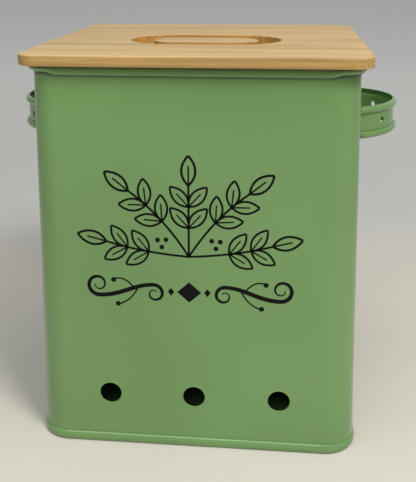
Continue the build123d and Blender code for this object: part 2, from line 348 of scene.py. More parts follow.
# %% Bamboo
SEAMS = (-74, -41, -17, 21.5, 55, 83)
STAVE_TONES = (0.62, 0.30, 0.75, 0.42, 0.60, 0.25, 0.55)
BOARD_SPAN = 260.0


def stave_tones(tree, across):
    """The tone of each stave, 0 to 1, from the distance across the board."""
    starts = [0.0] + [0.5 + seam / BOARD_SPAN for seam in SEAMS]
    stops = list(zip(starts, STAVE_TONES))
    return steps(tree, across, stops, "CONSTANT")


def seam_lines(tree, across):
    """1 on the glue lines and 0 elsewhere."""
    near = 0.55 / BOARD_SPAN
    stops = [(0.0, 0.0)]
    for seam in SEAMS:
        middle = 0.5 + seam / BOARD_SPAN
        stops += [(middle - near, 0.0), (middle, 1.0), (middle + near, 0.0)]
    return steps(tree, across, stops)


def bamboo(name, pale, deep, warm):
    """Oiled bamboo staves; pale and deep are its fibres, warm the tone of its clouds; upright faces
    get painted shade.
    """
    material, tree, shader, place = new_material(name)
    apart = add(tree, "ShaderNodeSeparateXYZ", {"Vector": place}).outputs
    across = ranged(tree, apart["Y"], 0.0, 1.0, -BOARD_SPAN / 2 * MM, BOARD_SPAN / 2 * MM)
    tone = stave_tones(tree, across)
    # each stave reads its own stretch of the fibres
    slide = add(tree, "ShaderNodeCombineXYZ", {"X": math_node(tree, "MULTIPLY", tone, 7.0)})
    own = add(tree, "ShaderNodeVectorMath", {0: place, 1: slide.outputs[0]}, operation="ADD")
    own = own.outputs[0]
    fine = noise(tree, own, 1.0, 3.0, (16.0, 1300.0, 1300.0))
    strand = noise(tree, own, 1.0, 2.0, (9.0, 520.0, 520.0))
    broad = noise(tree, own, 1.0, 2.0, (5.0, 170.0, 170.0))
    cloud = noise(tree, own, 1.0, 2.0, (9.0, 26.0, 26.0))
    grain = math_node(tree, "MULTIPLY", ranged(tree, fine, 0.0, 1.0, 0.34, 0.62), 0.30)
    strands = math_node(tree, "MULTIPLY", ranged(tree, strand, 0.0, 1.0, 0.34, 0.58), 0.38)
    grain = math_node(tree, "ADD", grain, strands)
    streaks = math_node(tree, "MULTIPLY", ranged(tree, broad, 0.0, 1.0, 0.34, 0.62), 0.42)
    fibres = blend(tree, math_node(tree, "ADD", grain, streaks), deep, pale)
    toned = blend(tree, ranged(tree, tone, 0.0, 0.40), fibres, pale)
    toned = blend(tree, ranged(tree, cloud, 0.0, 0.22, 0.5, 0.75), toned, warm)
    seamed = blend(tree, math_node(tree, "MULTIPLY", seam_lines(tree, across), 0.45), toned, deep)
    knots = knuckles(tree, own, tone)
    knotted = blend(tree, math_node(tree, "MULTIPLY", knots, 0.38), seamed, (0.21, 0.115, 0.040, 1))
    # Painted shade: upright faces, the board's edges and the slot's walls, are multiplied darker than
    # the top, standing in for the lesser light they get.
    upright = add(tree, "ShaderNodeSeparateXYZ", {
        "Vector": add(tree, "ShaderNodeTexCoord").outputs["Normal"]
    }).outputs["Z"]
    side = ranged(tree, math_node(tree, "ABSOLUTE", upright), 1.0, 0.0, 0.15, 0.85)
    cut = blend(tree, side, knotted, (0.86, 0.78, 0.57, 1), mode="MULTIPLY")
    # More painted shade on the upright faces inside the slot and round the bar, where the recess
    # shades them.
    near_x = math_node(tree, "LESS_THAN", math_node(tree, "ABSOLUTE", apart["X"]), 61.2 * MM)
    from_slot = math_node(tree, "ABSOLUTE", math_node(tree, "ADD", apart["Y"], 14 * MM))
    within = math_node(tree, "MULTIPLY", near_x, math_node(tree, "LESS_THAN", from_slot, 34.6 * MM))
    slot_wall_shade = math_node(tree, "MULTIPLY", side, within)
    cut = blend(tree, slot_wall_shade, cut, (0.96, 0.84, 0.60, 1), mode="MULTIPLY")
    tree.links.new(cut, shader.inputs["Base Color"])
    tree.links.new(ranged(tree, fine, 0.62, 0.46), shader.inputs["Roughness"])
    height = math_node(tree, "SUBTRACT", fine, math_node(tree, "MULTIPLY", knots, 0.6))
    bumped(tree, shader, height, 0.22, 0.00012)
    shader.inputs["Specular IOR Level"].default_value = 0.35
    return material


def knuckles(tree, own, tone):
    """Darker marks across the staves, about every 26 cm along each cane."""
    along = add(tree, "ShaderNodeSeparateXYZ", {"Vector": own}).outputs["X"]
    lap = math_node(tree, "FRACT", math_node(tree, "DIVIDE", along, 0.26))
    wobble = noise(tree, own, 1.0, 1.0, (30.0, 260.0, 260.0))
    lap = math_node(tree, "ADD", lap, ranged(tree, wobble, -0.005, 0.005))
    gap = math_node(tree, "ABSOLUTE", math_node(tree, "SUBTRACT", lap, 0.5))
    band = ranged(tree, gap, 1.0, 0.0, 0.0, 0.009)
    patches = ranged(tree, noise(tree, own, 1.0, 2.0, (120.0, 420.0, 420.0)), 0.0, 1.0, 0.50, 0.62)
    return math_node(tree, "MULTIPLY", band, patches)


wood = bamboo(
    "bamboo_boards", (0.63, 0.447, 0.216, 1), (0.25, 0.135, 0.047, 1), (0.40, 0.24, 0.080, 1)
)
print("bamboo:", len(SEAMS) + 1, "staves over", BOARD_SPAN, "mm")

# %% [markdown]
# ## Ink and zinc
#
# The print on the front is a black enamel ink, thin and satin, a shade less than black where it
# was laid thinly. The screws under the lid are zinc plated: bright, faintly blue, with the fine
# rings that turning leaves.

# %% Ink and zinc
def ink_finish(name):
    """Screen ink: near black, with slightly thinner patches."""
    material, tree, shader, place = new_material(name)
    thin = ranged(tree, noise(tree, place, 260.0, 3.0), 0.0, 1.0, 0.45, 0.75)
    body = blend(tree, thin, (0.003, 0.003, 0.003, 1), (0.007, 0.008, 0.007, 1))
    tree.links.new(body, shader.inputs["Base Color"])
    gloss = ranged(tree, noise(tree, place, 90.0), 0.48, 0.62)
    tree.links.new(gloss, shader.inputs["Roughness"])
    shader.inputs["Specular IOR Level"].default_value = 0.12
    bumped(tree, shader, noise(tree, place, 900.0), 0.10, 0.00003)
    return material


def zinc_finish(name):
    """Zinc plate on small turned steel parts."""
    material, tree, shader, place = new_material(name)
    cloud = noise(tree, place, 500.0, 3.0)
    body = blend(tree, cloud, (0.47, 0.48, 0.50, 1), (0.64, 0.64, 0.64, 1))
    tree.links.new(body, shader.inputs["Base Color"])
    shader.inputs["Metallic"].default_value = 1.0
    tree.links.new(ranged(tree, cloud, 0.24, 0.42), shader.inputs["Roughness"])
    bumped(tree, shader, noise(tree, place, 2600.0, 2.0), 0.15, 0.00003)
    return material


ink = ink_finish("black_ink")
zinc = zinc_finish("zinc_plate")
print("ink and zinc made")

# %% [markdown]
# ## One tree for everything that is formed along a path
#
# The wall, the seamed base and the strap handles are all made the same way in metal: one section
# is carried along a path, and in places it changes into a second section. A rolling mill does
# just that. So one Geometry Nodes tree serves for all of them. The path carries, at each point,
# its outward direction and how far the section has changed; the section carries, at each point,
# its place in the first form and in the second. The tree makes the tube, and then puts every
# point exactly where those attributes say, so the frame that the tube tool chose for itself
# doesn't matter.

# %% The forming tree
def forming_tree():
    """Carry a section along a path, changing from its first form to its second."""
    tree, given = open_tree("formed_along_path", {
        "Section": "Object", "Draw in per height": "Float", "Extra proud": "Float",
        "Capped": "Bool", "Material": "Material",
    })
    info = add(tree, "GeometryNodeObjectInfo", {"Object": given["Section"]})
    section = add(tree, "GeometryNodeMeshToCurve", {"Mesh": info.outputs["Geometry"]}).outputs[0]
    path = add(tree, "GeometryNodeMeshToCurve", {"Mesh": given["Geometry"]}).outputs[0]
    tube = add(tree, "GeometryNodeCurveToMesh", {
        "Curve": path, "Profile Curve": section, "Fill Caps": given["Capped"]
    }).outputs[0]
    form = add(tree, "ShaderNodeMix", {
        "Factor": attribute(tree, "change"), 4: attribute(tree, "first", "FLOAT_VECTOR"),
        5: attribute(tree, "second", "FLOAT_VECTOR"),
    }, data_type="VECTOR").outputs[1]
    part = add(tree, "ShaderNodeSeparateXYZ", {"Vector": form}).outputs
    lean = math_node(tree, "MULTIPLY", part["Y"], given["Draw in per height"])
    proud = math_node(tree, "MULTIPLY", attribute(tree, "extra"), part["Z"])
    proud = math_node(tree, "MULTIPLY", proud, given["Extra proud"])
    out = math_node(tree, "ADD", math_node(tree, "SUBTRACT", part["X"], lean), proud)
    outward = add(tree, "ShaderNodeVectorMath", {
        0: attribute(tree, "outward", "FLOAT_VECTOR"), "Scale": out
    }, operation="SCALE").outputs[0]
    tall = math_node(tree, "MULTIPLY", part["Y"], attribute(tree, "tall"))
    up = add(tree, "ShaderNodeCombineXYZ", {"Z": tall}).outputs[0]
    spot = add(tree, "ShaderNodeVectorMath", {
        0: attribute(tree, "base", "FLOAT_VECTOR"), 1: outward
    }, operation="ADD").outputs[0]
    spot = add(tree, "ShaderNodeVectorMath", {0: spot, 1: up}, operation="ADD").outputs[0]
    moved = add(tree, "GeometryNodeSetPosition", {"Geometry": tube, "Position": spot})
    return close_tree(tree, moved.outputs[0], given["Material"])


forming = forming_tree()


def section_line(name, rows, creases=None):
    """A section from rows in mm: outward and up in the first form, then in the second."""
    first = [(row[0] * MM, row[1] * MM, row[4] if len(row) > 4 else 0.0) for row in rows]
    second = [(row[2] * MM, row[3] * MM, row[4] if len(row) > 4 else 0.0) for row in rows]
    # Each row also carries a painted shade, 0 to 1, which the enamel reads to darken its colour.
    creases = creases or [0.0] * len(rows)
    places = [(p[0], p[1], 0) for p in first]
    return attributed(name, places, first=first, second=second, crease=creases)


def path_line(name, stations, closed=True):
    """A path from stations: base, outward, change, tall, extra."""
    base, outward, change, tall, extra = zip(*stations)
    return attributed(
        name, base, closed, base=[tuple(b) for b in base], outward=[tuple(o) for o in outward],
        change=change, tall=tall, extra=extra,
    )


def form(path, section, material, lean=0.0, proud=0.0, capped=False, **settings):
    """Run the forming tree on a path and settle the result."""
    use_tree(path, forming, {
        "Section": section, "Draw in per height": lean, "Extra proud": proud,
        "Capped": capped, "Material": material,
    })
    settle(path, **settings)
    forget(section)
    return path


print("forming tree:", len(forming.nodes), "nodes")

# %% [markdown]
# ## The wall
#
# One steel sheet is wrapped round and closed by a folded seam down the middle of the back. Its
# top edge is rolled outward and down. Along the straight sides that makes a narrow flat hem; a
# folded hem can't follow a tight bend, so round each corner the same edge stands out as a small
# collar, and the hem turns into it within a few millimetres of the bend. The stations round the
# wall are close together there, and the change runs smoothly from 0 to 1.

# %% Stations round the wall
COLLAR_START = 4.5
COLLAR_FULL = 7


def smooth(t):
    """A soft step from 0 to 1."""
    t = min(1.0, max(0.0, t))
    return t * t * (3 - 2 * t)


def straight_marks(half, middle=()):
    """Places along one straight side in mm, closest near its two ends."""
    near = [0, 1, 2, 3, 4, 5, 6.5, 9, 13, 20]
    wide = int((half - 20) // 11)
    inner = [(half - 20) * k / wide for k in range(1, wide)]
    marks = [half - d for d in near] + inner + [0.0] + list(middle)
    return sorted(set(marks) | {-m for m in marks})


def round_stations(radius, bend_steps=18, seam=True):
    """Stations round the rounded square, anticlockwise from the front left corner."""
    stations = []
    for side in range(4):
        turn = math.radians(90 * side - 90)
        outward = Vector((math.cos(turn), math.sin(turn), 0))
        along = Vector((-math.sin(turn), math.cos(turn), 0))
        half, deep = (AXIS_X, AXIS_Y) if side % 2 == 0 else (AXIS_Y, AXIS_X)
        back = side == 2 and seam
        fold = (0.8, 2.0, 3.0, 3.5, 3.9, 4.3, 4.8, 5.5) if back else ()
        for t in straight_marks(half / MM, fold):
            base = outward * (deep + radius) + along * t * MM
            inside = half / MM - abs(t)
            change = smooth((COLLAR_START - inside) / (COLLAR_START + COLLAR_FULL))
            extra = smooth((4.5 - abs(t)) / 1.1) if back else 0.0
            stations.append((base, outward, change, 1.0, extra))
        corner = outward * deep + along * half
        for k in range(1, bend_steps):
            angle = turn + math.radians(90) * k / bend_steps
            way = Vector((math.cos(angle), math.sin(angle), 0))
            into = min(k, bend_steps - k) / bend_steps * math.radians(90) * radius / MM
            change = smooth((COLLAR_START + into) / (COLLAR_START + COLLAR_FULL))
            stations.append((corner + way * radius, way, change, 1.0, 0.0))
    return stations


wall_stations = round_stations(WALL_CORNER)
print(len(wall_stations), "stations round the wall")

# %% [markdown]
# The section of the wall goes up its outer skin, round the rolled edge and down the inner skin.
# Each row gives a point of the hem and the matching point of the collar. The last number is 1
# where the folded back seam stands proud, which stops short of the rim and of the base.

# %% Section of the wall
HEM = [
    (0, 286.0), (0, 287.2), (0, 287.85), (0.1, 288.05), (0.6, 288.08), (0.98, 288.2), (1.17, 288.55),
    (1.24, 289.2), (1.25, 290.2), (1.24, 291.2), (1.16, 292.2), (0.98, 293.1), (0.7, 293.9),
    (0.35, 294.5), (-0.05, 294.93), (-0.4, 294.9), (-0.66, 294.5), (-0.8, 293.9), (-0.8, 292.5),
]
COLLAR = [
    (0, 286.4), (0, 288.2), (0.03, 289.0), (0.25, 289.4), (0.9, 289.85), (1.8, 290.4),
    (2.7, 290.95), (3.4, 291.4), (3.8, 291.85), (3.95, 292.4), (3.96, 292.95), (3.86, 293.5),
    (3.56, 294.0), (3.05, 294.45), (2.2, 294.8), (0.4, 294.95), (-0.5, 294.8), (-0.8, 294.2),
    (-0.8, 292.5),
]
# Painted shade on the hem's rows: dark in the shade under the hem, near black at the rim's top where
# the lid's shadow falls.
CREASE_SHADE = (0, 0.4, 1, 1, 1, 0.5, 0, 0, 0, 0, 0, 0.3, 0.8, 1, 1, 1, 0.6, 0.3, 0)
SKIN = [2, 4, 7, 9, 10.5, 12.5, 20, 30, 34, 38, 42, 46, 50, 54] + list(range(64, 284, 10)) + [284]


def wall_section():
    """Rows of the wall's section, from the foot up, round the rim and down again."""
    rows = []
    for z in SKIN:
        rows.append((0, z, 0, z, 1.0 if 10 < z < 284 else 0.0))
    for hem, collar in zip(HEM, COLLAR):
        rows.append(hem + collar + (0.0,))
    for z in reversed(SKIN):
        rows.append((-0.8, z, -0.8, z, 0.0))
    for out, z in ((-0.66, 1.4), (-0.4, 1.2), (-0.14, 1.4)):
        rows.append((out, z, out, z, 0.0))
    # painted shade also in the hollow above the foot bead, at 7 mm
    creases = [{7: 0.4}.get(z, 0.0) for z in SKIN] + list(CREASE_SHADE)
    return rows, creases + [0.0] * (len(rows) - len(creases))


bin_wall = form(
    path_line("enamel_wall", wall_stations), section_line("wall_section", *wall_section()),
    green, lean=LEAN, proud=0.9 * MM,
)

# %% [markdown]
# ## Holes punched through sheet
#
# Three round vents are punched low on the front, and small holes are punched for the rivets.
# Punching is the same act wherever it happens: a round tool is set at a mark, square to the
# sheet, and driven through. The tree puts one cylinder at each mark and cuts them all away.

# %% The punching tree
def punching_tree():
    """Cut a round hole through the sheet at each mark."""
    tree, given = open_tree("punched_holes", {
        "Marks": "Object", "Bore": "Float", "Depth": "Float", "Material": "Material",
    })
    marks = add(tree, "GeometryNodeObjectInfo", {"Object": given["Marks"]}).outputs["Geometry"]
    tool = add(tree, "GeometryNodeMeshCylinder", {
        "Vertices": 64, "Radius": math_node(tree, "DIVIDE", given["Bore"], 2.0),
        "Depth": given["Depth"],
    }).outputs["Mesh"]
    way = add(tree, "FunctionNodeAlignRotationToVector", {
        "Vector": attribute(tree, "outward", "FLOAT_VECTOR")
    }, axis="Z").outputs[0]
    tools = add(tree, "GeometryNodeInstanceOnPoints", {
        "Points": marks, "Instance": tool, "Rotation": way
    }).outputs[0]
    tools = add(tree, "GeometryNodeRealizeInstances", {"Geometry": tools}).outputs[0]
    cut = add(tree, "GeometryNodeMeshBoolean", {
        "Mesh 1": given["Geometry"], "Mesh 2": tools
    }, operation="DIFFERENCE", solver="EXACT")
    return close_tree(tree, cut.outputs["Mesh"], given["Material"])


punching = punching_tree()


def marks_at(name, places):
    """Marks for punching or setting out: each a place and the way out of the sheet."""
    mesh = bpy.data.meshes.new(name)
    mesh.from_pydata([Vector(place) for place, way in places], [], [])
    made = mesh.attributes.new("outward", "FLOAT_VECTOR", "POINT")
    made.data.foreach_set("vector", [part for place, way in places for part in way])
    return link(name, mesh)


def punch(thing, marks, bore, depth, material, **settings):
    """Punch holes at the marks and settle the sheet."""
    use_tree(thing, punching, {
        "Marks": marks, "Bore": bore, "Depth": depth, "Material": material
    })
    return settle(thing, **settings)


# %% Vents and rivet holes in the wall
VENT_BORE = 17 * MM
VENT_PITCH = 64.5 * MM
VENT_HEIGHT = 42.3 * MM
RIVET_SPAN = 57.5 * MM
HANDLE_HEIGHT = 243 * MM


def wall_face(height):
    """Distance from a corner axis to the outer face at a height."""
    return WALL_CORNER - LEAN * height


vent_way = Vector((0, -1, 0))
vent_y = -(AXIS_Y + wall_face(VENT_HEIGHT))
vents = [(Vector((x, vent_y, VENT_HEIGHT)), vent_way) for x in (-VENT_PITCH, 0.0, VENT_PITCH)]
side_x = AXIS_X + wall_face(HANDLE_HEIGHT)
rivets = [
    (Vector((sx * side_x, sy * RIVET_SPAN, HANDLE_HEIGHT)), Vector((sx, 0, 0)))
    for sx in (-1, 1) for sy in (-1, 1)
]
vent_marks = marks_at("vent_marks", vents)
rivet_marks = marks_at("rivet_marks", rivets)
punch(bin_wall, vent_marks, VENT_BORE, 20 * MM, green)
punch(bin_wall, rivet_marks, 4.4 * MM, 10 * MM, green)
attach(bin_wall, "bin")
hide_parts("bin_wall")

# %% [markdown]
# ## The lips of the vents
#
# Round each vent the enamel has drawn into a fine bead over the cut edge, which catches the
# light as a pale ring. One lip is formed with the same tree, round a circle, and then set out at
# the three vents by a tree that places any part at marks, its Z axis pointing out of the sheet.

# %% The setting-out tree, and the lips
def setting_tree():
    """Place one part at each mark, its Z axis along the mark's direction."""
    tree, given = open_tree("set_out_at_marks", {"Part": "Object", "Material": "Material"})
    part = add(tree, "GeometryNodeObjectInfo", {"Object": given["Part"]}).outputs["Geometry"]
    way = add(tree, "FunctionNodeAlignRotationToVector", {
        "Vector": attribute(tree, "outward", "FLOAT_VECTOR")
    }, axis="Z").outputs[0]
    placed = add(tree, "GeometryNodeInstanceOnPoints", {
        "Points": given["Geometry"], "Instance": part, "Rotation": way
    }).outputs[0]
    return close_tree(tree, placed, given["Material"])


setting = setting_tree()


def set_out(name, places, part, material, **settings):
    """A piece made of one part repeated at marks."""
    made = marks_at(name, places)
    use_tree(made, setting, {"Part": part, "Material": material})
    settle(made, **settings)
    forget(part)
    return made


def circle_stations(radius, count):
    """Stations round a circle, for forming a ring."""
    ways = [math.tau * k / count for k in range(count)]
    ways = [Vector((math.cos(a), math.sin(a), 0)) for a in ways]
    return [(way * radius, way, 0.0, 1.0, 0.0) for way in ways]


LIP = [
    (0.85, 0.01), (0.62, 0.17), (0.34, 0.28), (0.04, 0.25), (-0.16, 0.08), (-0.24, -0.18),
    (-0.24, -0.58), (-0.19, -0.82), (-0.02, -0.98), (0.30, -1.04), (0.62, -0.96), (0.85, -0.81),
]
lip = form(
    path_line("one_lip", circle_stations(VENT_BORE / 2, 64)),
    section_line("lip_section", [row + row for row in LIP]), green,
)
sheet_way = Vector((0, -1, LEAN)).normalized()
vent_lips = set_out("vent_lips", [(place, sheet_way) for place, way in vents], lip, green)
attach(vent_lips, "bin")

# %% [markdown]
# ## The seamed base
#
# The base is a shallow pressing whose edge is rolled round the foot of the wall. From outside it
# is a rounded bead: a soft hollow where it leaves the wall, a shoulder that catches the light on
# its upper third, and a foot that turns under. From below it is a rim round a raised panel with
# a pressed step. The bead is formed along the wall's own path; the panel is lofted through
# rounded rectangles of growing size, which is how its pressed steps are drawn.

# %% The bead and the panel
BEAD = [
    (-0.2, 8.2), (0.0, 7.8), (0.16, 7.5), (0.38, 7.22), (0.64, 6.92), (0.90, 6.55), (1.12, 6.1),
    (1.30, 5.55), (1.43, 4.95), (1.50, 4.25), (1.52, 3.5), (1.48, 2.75), (1.36, 2.0), (1.14, 1.3),
    (0.82, 0.72), (0.42, 0.3), (0.0, 0.07), (-0.5, 0), (-1.2, 0), (-1.7, 0.1), (-2.0, 0.4),
    (-2.1, 0.9), (-2.1, 3.0), (-2.1, 7.2), (-2.0, 7.6), (-1.7, 7.8), (-1.5, 7.8), (-1.25, 7.6),
    (-1.1, 7.2), (-1.1, 4.0), (-1.1, 1.1), (-0.5, 1.0), (0.02, 1.1), (-0.02, 4.0), (-0.09, 7.6),
]


def rounded(half_x, half_y, radius, bend_steps=16):
    """A rounded rectangle as corner-axis places and outward directions."""
    places = []
    for side in range(4):
        sx, sy = ((1, -1), (1, 1), (-1, 1), (-1, -1))[side]
        centre = Vector((sx * (half_x - radius), sy * (half_y - radius), 0))
        for k in range(bend_steps + 1):
            angle = math.radians(90 * side - 90 + 90 * k / bend_steps)
            places.append((centre, Vector((math.cos(angle), math.sin(angle), 0))))
    return places


def ring_at(outline, radius, z, centre=(0, 0)):
    """Points of an outline at a distance from its corner axes, at a height."""
    shift = Vector((centre[0], centre[1], z))
    return [place + way * radius + shift for place, way in outline]


def lofted(name, rings, material, **settings):
    """A closed skin through rings of equal counts, capped at both ends."""
    shape = bmesh.new()
    rows = [[shape.verts.new(point) for point in ring] for ring in rings]
    count = len(rows[0])
    for low, high in zip(rows, rows[1:]):
        for k in range(count):
            shape.faces.new((low[k], low[(k + 1) % count], high[(k + 1) % count], high[k]))
    shape.faces.new(rows[0])
    shape.faces.new(rows[-1])
    mesh = bpy.data.meshes.new(name)
    shape.to_mesh(mesh)
    shape.free()
    mesh.materials.append(material)
    return tidy(link(name, mesh), **settings)


def base_panel():
    """The pressed panel: flat edge, soft step, raised middle, one sheet thick."""
    edge = WALL_CORNER - 1.6 * MM
    outer = rounded(AXIS_X + edge, AXIS_Y + edge, edge)
    step = rounded(AXIS_X + WALL_CORNER - 26 * MM, AXIS_Y + WALL_CORNER - 26 * MM, 40 * MM)
    press = [(0.0, 0.0), (0.5, 0.12), (1.0, 0.5), (1.4, 1.1), (1.9, 1.48), (2.5, 1.6), (4.0, 1.6)]
    under = [ring_at(step, (40 - inset) * MM, (5 + lift) * MM) for inset, lift in reversed(press)]
    under += [ring_at(outer, edge - 3 * MM, 5 * MM), ring_at(outer, edge, 5 * MM)]
    over = [ring_at(outer, edge, 5.8 * MM), ring_at(outer, edge - 3 * MM, 5.8 * MM)]
    over += [ring_at(step, (40 - inset) * MM, (5.8 + lift) * MM) for inset, lift in press]
    return lofted("base_panel", under + over, green, sharp=60)


foot_stations = round_stations(WALL_CORNER, seam=False)
# Painted shade: darker in the hollow where the bead leaves the wall and where the foot turns under.
BEAD_CREASE_SHADE = [0.5, 0.1, 0, 0] + [0] * 10 + [0, 0.5, 1] + [0] * (len(BEAD) - 17)
foot_bead = form(
    path_line("foot_bead", foot_stations),
    section_line("bead_section", [r + r for r in BEAD], BEAD_CREASE_SHADE), green, sharp=50,
)
panel = base_panel()
for piece in (foot_bead, panel):
    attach(piece, "bin")
    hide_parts("bin_base")

# %% [markdown]
# ## The strap handles
#
# Each handle is one strip of steel. A half-round bead is rolled along both of its edges to
# stiffen it and to spare the fingers, then the strip is bent to a bow, and its two ends are
# turned back flat against the wall and riveted. The path runs along the strip's outer face from
# one tab, round a tight reverse bend, over the bow and down to the other tab. In the bends the
# beads flatten out into the plain tab, so the section changes from its first form to its second,
# and at the very ends the strip gets lower, which rounds the corners of the tabs.

# %% The path and section of a strap
BOW = 49.6
WALL_AT = 14.6
BEND = 1.5
TAB_END = 66.0
BEAD_MIDDLE = 9.7
BEAD_HALF = 2.8
BEAD_DEEP = 2.4


def strap_half():
    """Stations from the top of the bow to the end of one tab, in mm, seen from above."""
    bend_x = WALL_AT + 0.8 + BEND
    bend_y = math.sqrt((BOW + BEND) ** 2 - bend_x ** 2)
    last = math.atan2(bend_y, bend_x)
    rows = []
    bow_steps = 34
    for k in range(bow_steps + 1):
        angle = last * k / bow_steps
        way = Vector((math.cos(angle), math.sin(angle), 0))
        left = math.degrees(last - angle)
        rows.append((way * BOW, way, smooth((5.0 - left) / 6.5), 1.0))
    for k in range(1, 9):
        angle = last + math.pi + (math.pi - last - math.pi) * k / 8
        way = Vector((-math.cos(angle), -math.sin(angle), 0))
        place = Vector((bend_x, bend_y, 0)) - way * BEND
        rows.append((place, way, smooth((6.5 + k) / 6.5), 1.0))
    out = Vector((1, 0, 0))
    for back in (16, 12, 8, 5, 4, 3, 2.2, 1.5, 1.0, 0.6, 0.3, 0.1, 0.0):
        reach = max(0.0, 5 - back)
        half = 1.5 + math.sqrt(25 - reach ** 2)
        rows.append((Vector((WALL_AT + 0.8, TAB_END - back, 0)), out, 1.0, half / 6.5))
    return rows


def strap_stations():
    """The whole strap, from tab to tab, the wall's face at x = 0, in metres."""
    half = strap_half()
    shift = Vector((WALL_AT, 0, 0))
    other = [
        (Vector((b.x, -b.y, 0)), Vector((w.x, -w.y, 0)), change, tall)
        for b, w, change, tall in reversed(half[1:])
    ]
    return [((b - shift) * MM, w, change, tall, 0.0) for b, w, change, tall in other + half]


def strap_section():
    """Rows up the outer face with its two beads, and down the inner face."""
    outer = [(0.0, z) for z in (-5.6, -3.0, 0.0, 3.0, 5.6, 6.5)] + [(0.10, 6.8), (0.45, 6.9)]
    for k in range(1, 10):
        angle = math.pi * (0.08 + 0.92 * k / 9)
        outer.append((BEAD_DEEP * math.sin(angle), BEAD_MIDDLE - BEAD_HALF * math.cos(angle)))
    inner = [(-0.8, 12.5), (-0.8, 12.0), (-0.7, 11.75)]
    for k in range(1, 9):
        angle = math.pi * (1 - k / 9)
        inner.append((-0.8 + 2.4 * math.sin(angle), BEAD_MIDDLE - 2.0 * math.cos(angle)))
    inner += [(-0.7, 7.65), (-0.8, 7.3), (-0.8, 5.6), (-0.8, 3.0), (-0.8, 0.0)]
    lower_outer = [(out, -z) for out, z in reversed(outer[5:])]
    lower_inner = [(out, -z) for out, z in reversed(inner[:-1])]
    rows = lower_outer + outer[:5] + outer[5:] + inner + lower_inner
    flat = 6.5 / 12.5
    front = len(lower_outer) + len(outer)
    # painted shade: a dark line on the outer face where each bead meets the web
    creases = [
        0.6 if index < front and 6.6 < abs(z) < 7.0 else 0.0 for index, (out, z) in enumerate(rows)
    ]
    return [
        (out, z, 0.0 if index < front else -0.8, z * flat) for index, (out, z) in enumerate(rows)
    ], creases


def strap(name, side):
    """One handle on its wall; side is 1 for the right and -1 for the left."""
    made = form(
        path_line(name, strap_stations(), closed=False),
        section_line(name + "_section", *strap_section()), green, capped=True, sharp=50,
    )
    hang = [math.radians(41), -math.radians(41)]
    bow = 49.2 * MM
    holes = [
        (Vector((bow * math.cos(a) - WALL_AT * MM, bow * math.sin(a), 0)),
         Vector((math.cos(a), math.sin(a), 0))) for a in hang
    ]
    ends = [(Vector((0, y, 0)), Vector((1, 0, 0))) for y in (-RIVET_SPAN, RIVET_SPAN)]
    hang_marks = marks_at("hang_marks", holes)
    end_marks = marks_at("end_marks", ends)
    punch(made, hang_marks, 4.6 * MM, 8 * MM, green, sharp=50)
    punch(made, end_marks, 4.4 * MM, 8 * MM, green, sharp=50)
    forget(hang_marks, end_marks)
    place = Matrix.Translation((side_x, 0, HANDLE_HEIGHT)) @ Matrix.Rotation(-math.atan(LEAN), 4, "Y")
    if side < 0:
        place = Matrix.Scale(-1, 4, (1, 0, 0)) @ place
    made.data.transform(place)
    return tidy(made, sharp=50)


for name, side in (("right_strap", 1), ("left_strap", -1)):
    handle = strap(name, side)
    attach(handle, "bin")
    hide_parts("right_handle" if side > 0 else "left_handle")

# %% [markdown]
# ## Rivets
#
# Two dome rivets hold each tab. A rivet is turned about its own axis, so its shape is a list of
# radii and heights: the set head inside the wall, the shank, and the dome outside. Four of them
# are set out at the rivet marks, square to the leaning walls.

# %% Turned parts, and the rivets
def turned(name, line, material, count=40, **settings):
    """A solid of revolution about Z from (radius, height) in mm, from axis to axis."""
    shape = bmesh.new()
    rows = []
    for radius, height in line:
        angles = [math.tau * k / count for k in range(count)]
        rows.append([
            shape.verts.new((radius * MM * math.cos(a), radius * MM * math.sin(a), height * MM))
            for a in angles
        ])
    for low, high in zip(rows, rows[1:]):
        for k in range(count):
            shape.faces.new((low[k], low[(k + 1) % count], high[(k + 1) % count], high[k]))
    mesh = bpy.data.meshes.new(name)
    shape.to_mesh(mesh)
    shape.free()
    mesh.materials.append(material)
    return tidy(link(name, mesh), **settings)


def dome(radius, rise, base, count=8):
    """Points of a dome's outline from its edge to its top."""
    ball = (radius ** 2 + rise ** 2) / (2 * rise)
    rows = []
    for k in range(count + 1):
        r = radius * (1 - k / count)
        rows.append((r, base + rise - ball + math.sqrt(max(0.0, ball ** 2 - r ** 2))))
    return rows


RIVET = [(0, -2.0), (2.6, -2.0), (2.95, -1.9), (3.2, -1.55), (3.2, -0.8), (2.0, -0.8), (2.0, 0.8),
         (3.35, 0.8), (3.5, 0.9)] + dome(3.45, 1.85, 0.98)
rivet = turned("one_rivet", RIVET, green, sharp=40)
rivet_ways = [
    (place, Vector((way.x, 0, LEAN)).normalized()) for place, way in rivets
]
handle_rivets = set_out("handle_rivets", rivet_ways, rivet, green, sharp=40)
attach(handle_rivets, "bin")
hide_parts("right_handle_rivets", "left_handle_rivets")

# %% [markdown]
# ## The lid board and its grip
#
# The lid is a flat board with rounded corners, its long edges eased by a light sanding. A
# stadium-shaped slot is cut through it, forward of the middle, and a narrower bar stands in the
# slot for the fingers to close on. Both are lofted through outlines that step inward round each
# eased edge. A narrow ring just inside each edge keeps the flat faces shading flat.

# %% Boards with eased edges
def eased(ease, low, high, count=5):
    """Inset and height, in mm, round a board's edge from its lower face to its upper."""
    rows = [(ease + 0.6, low), (ease, low)]
    for k in range(1, count + 1):
        angle = math.radians(90) * k / count
        rows.append((ease * (1 - math.sin(angle)), low + ease * (1 - math.cos(angle))))
    rows.append((0.0, low + ease + 0.6))
    rows += [(0.0, low + high - z) for inset, z in [(0.0, low + ease + 0.6)]]
    for k in range(count + 1):
        angle = math.radians(90) * k / count
        rows.append((ease * (1 - math.cos(angle)), high - ease * (1 - math.sin(angle))))
    rows.append((ease + 0.6, high))
    return rows


